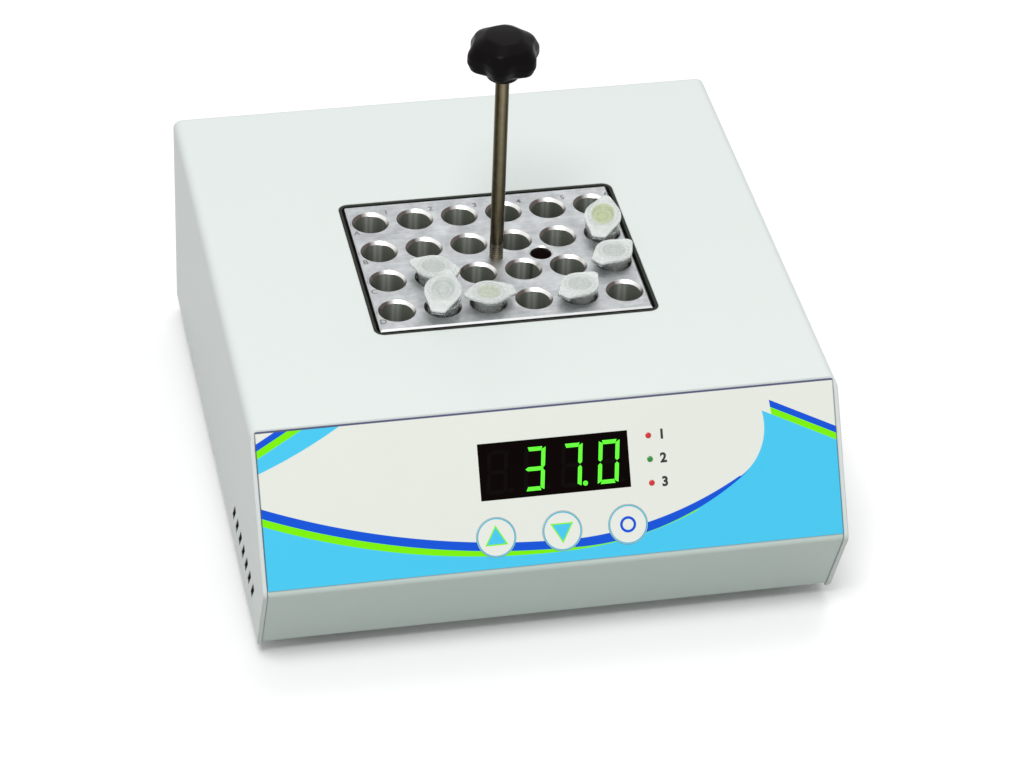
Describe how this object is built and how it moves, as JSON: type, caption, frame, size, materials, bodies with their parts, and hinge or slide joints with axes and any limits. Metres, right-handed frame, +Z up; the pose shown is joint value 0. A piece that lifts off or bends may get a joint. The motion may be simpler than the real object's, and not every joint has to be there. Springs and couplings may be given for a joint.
{
  "type": "dry block heater",
  "caption": "Benchtop dry block heater: bent steel housing, sloped keypad with a lit readout, drilled aluminium block on a lifting rod, and lidded sample tubes.",
  "frame": {"origin": "centre of the footprint, on the bench under the feet", "axes": "+X to the right of the control panel, +Y to the rear panel, +Z up"},
  "size_m": [0.2, 0.222, 0.1753],
  "materials": {
    "cover_paint": "pale grey-white semi-matt powder coat",
    "chassis_paint": "pale grey-white semi-matt powder coat",
    "panel_print": "off-white printed film with blue, green and cyan stripes",
    "window_tint": "dark tinted clear plastic",
    "display_black": "black with green segments",
    "circuit_board": "green lacquered board",
    "key_print": "off-white printed key with a cyan ring",
    "lamp_red": "clear red lens",
    "lamp_green": "clear green lens",
    "block_aluminium": "machined and clear anodised",
    "liner_aluminium": "plain sheet aluminium",
    "black_aluminium": "black anodised",
    "rod_steel": "drawn stainless bar",
    "zinc_steel": "zinc plated",
    "brass": "plain",
    "knob_plastic": "black satin moulding",
    "black_plastic": "black moulding",
    "rocker_plastic": "black gloss moulding",
    "brown_plastic": "brown phenolic",
    "heater_silicone": "red-brown silicone",
    "insulation_wool": "pale mineral wool",
    "transformer_iron": "varnished laminations",
    "fuse_glass": "clear tube with plated caps",
    "foot_rubber": "dark grey rubber",
    "tube_plastic": "translucent natural polypropylene",
    "lid_plastic": "translucent natural polypropylene",
    "wire_insulation": "insulated wire and flat cable"
  },
  "bodies": {
    "housing": {"cover": "cover_paint", "base_chassis": "chassis_paint", "front_overlay": "panel_print", "display_window": "window_tint", "display_module": "display_black", "display_board": "circuit_board", "display_spacers": "brass", "display_screws": "zinc_steel", "key_switches": "black_plastic", "timer_led": "lamp_red", "run_led": "lamp_green", "heat_led": "lamp_red", "well_liner": "liner_aluminium", "heater_plate": "liner_aluminium", "heater_mat": "heater_silicone", "base_insulation": "insulation_wool", "wall_insulation": "insulation_wool", "clamp_plate": "zinc_steel", "plate_studs": "zinc_steel", "well_posts": "brass", "well_screws": "zinc_steel", "temperature_probe": "rod_steel", "thermal_cutout": "brown_plastic", "control_board": "circuit_board", "board_spacers": "brass", "triac_heatsink": "black_aluminium", "transformer": "transformer_iron", "power_inlet": "black_plastic", "inlet_pins": "brass", "switch_housing": "black_plastic", "earth_stud": "brass", "mains_wires": "wire_insulation", "heater_leads": "wire_insulation", "display_ribbon": "wire_insulation", "feet": "foot_rubber", "foot_screws": "zinc_steel", "cover_screws": "zinc_steel"},
    "block": {"heating_block": "block_aluminium"},
    "rod": {"lift_rod": "rod_steel"},
    "knob": {"lift_knob": "knob_plastic"},
    "key_up": {"key_up": "key_print"},
    "key_down": {"key_down": "key_print"},
    "key_set": {"key_set": "key_print"},
    "rocker": {"power_rocker": "rocker_plastic"},
    "drawer": {"fuse_drawer": "black_plastic", "fuse": "fuse_glass"},
    "tube_b6_body": {"tube_b6": "tube_plastic"},
    "lid_b6_body": {"lid_b6": "lid_plastic"},
    "tube_c2_body": {"tube_c2": "tube_plastic"},
    "lid_c2_body": {"lid_c2": "lid_plastic"},
    "tube_c6_body": {"tube_c6": "tube_plastic"},
    "lid_c6_body": {"lid_c6": "lid_plastic"},
    "tube_d2_body": {"tube_d2": "tube_plastic"},
    "lid_d2_body": {"lid_d2": "lid_plastic"},
    "tube_d3_body": {"tube_d3": "tube_plastic"},
    "lid_d3_body": {"lid_d3": "lid_plastic"},
    "tube_d5_body": {"tube_d5": "tube_plastic"},
    "lid_d5_body": {"lid_d5": "lid_plastic"}
  },
  "joints": [
    {"name": "block_lift", "type": "slide", "parent": "housing", "child": "block", "axis": [0, 0, 1], "range_m": [0, 0.055]},
    {"name": "knob_turn", "type": "hinge", "parent": "rod", "child": "knob", "pos_m": [0, 0.00533, 0.1583], "axis": [0, 0, 1], "range_deg": [0, 2160]},
    {"name": "rod_unscrew", "type": "slide", "parent": "block", "child": "rod", "axis": [0, 0, 1], "range_m": [0, 0.0048]},
    {"name": "key_up_press", "type": "slide", "parent": "housing", "child": "key_up", "axis": [0, 0.8444, -0.5357], "range_m": [0, 0.0004], "stiffness_N_per_m": 900},
    {"name": "key_down_press", "type": "slide", "parent": "housing", "child": "key_down", "axis": [0, 0.8444, -0.5357], "range_m": [0, 0.0004], "stiffness_N_per_m": 900},
    {"name": "key_set_press", "type": "slide", "parent": "housing", "child": "key_set", "axis": [0, 0.8444, -0.5357], "range_m": [0, 0.0004], "stiffness_N_per_m": 900},
    {"name": "rocker_throw", "type": "hinge", "parent": "housing", "child": "rocker", "pos_m": [0.022, 0.10353, 0.051], "axis": [1, 0, 0], "range_deg": [-20, 0]},
    {"name": "drawer_pull", "type": "slide", "parent": "housing", "child": "drawer", "axis": [0, 1, 0], "range_m": [0, 0.022]},
    {"name": "tube_b6_lift", "type": "slide", "parent": "block", "child": "tube_b6_body", "axis": [0, 0, 1], "range_m": [0, 0.045]},
    {"name": "lid_b6_fold", "type": "hinge", "parent": "tube_b6_body", "child": "lid_b6_body", "pos_m": [0.0367, 0.00579, 0.0879], "axis": [0.9336, -0.3584, 0], "range_deg": [-20, 60]},
    {"name": "tube_c2_lift", "type": "slide", "parent": "block", "child": "tube_c2_body", "axis": [0, 0, 1], "range_m": [0, 0.045]},
    {"name": "lid_c2_fold", "type": "hinge", "parent": "tube_c2_body", "child": "lid_c2_body", "pos_m": [-0.01603, -0.00832, 0.0879], "axis": [0.5, 0.866, 0], "range_deg": [0, 100]},
    {"name": "tube_c6_lift", "type": "slide", "parent": "block", "child": "tube_c6_body", "axis": [0, 0, 1], "range_m": [0, 0.045]},
    {"name": "lid_c6_fold", "type": "hinge", "parent": "tube_c6_body", "child": "lid_c6_body", "pos_m": [0.03256, -0.00912, 0.0879], "axis": [0.5878, -0.809, 0], "range_deg": [0, 100]},
    {"name": "tube_d2_lift", "type": "slide", "parent": "block", "child": "tube_d2_body", "axis": [0, 0, 1], "range_m": [0, 0.045]},
    {"name": "lid_d2_fold", "type": "hinge", "parent": "tube_d2_body", "child": "lid_d2_body", "pos_m": [-0.02745, -0.03035, 0.0879], "axis": [0.9272, -0.3746, 0], "range_deg": [-20, 80]},
    {"name": "tube_d3_lift", "type": "slide", "parent": "block", "child": "tube_d3_body", "axis": [0, 0, 1], "range_m": [0, 0.045]},
    {"name": "lid_d3_fold", "type": "hinge", "parent": "tube_d3_body", "child": "lid_d3_body", "pos_m": [0.00117, -0.02102, 0.0879], "axis": [-0.0872, 0.9962, 0], "range_deg": [0, 100]},
    {"name": "tube_d5_lift", "type": "slide", "parent": "block", "child": "tube_d5_body", "axis": [0, 0, 1], "range_m": [0, 0.045]},
    {"name": "lid_d5_fold", "type": "hinge", "parent": "tube_d5_body", "child": "lid_d5_body", "pos_m": [0.01685, -0.02761, 0.0879], "axis": [0.6293, -0.7771, 0], "range_deg": [0, 100]}
  ],
  "couplings": [
    {"joint": "rod_unscrew", "follows": "knob_turn", "m_per_rad": 0.00012732}
  ]
}
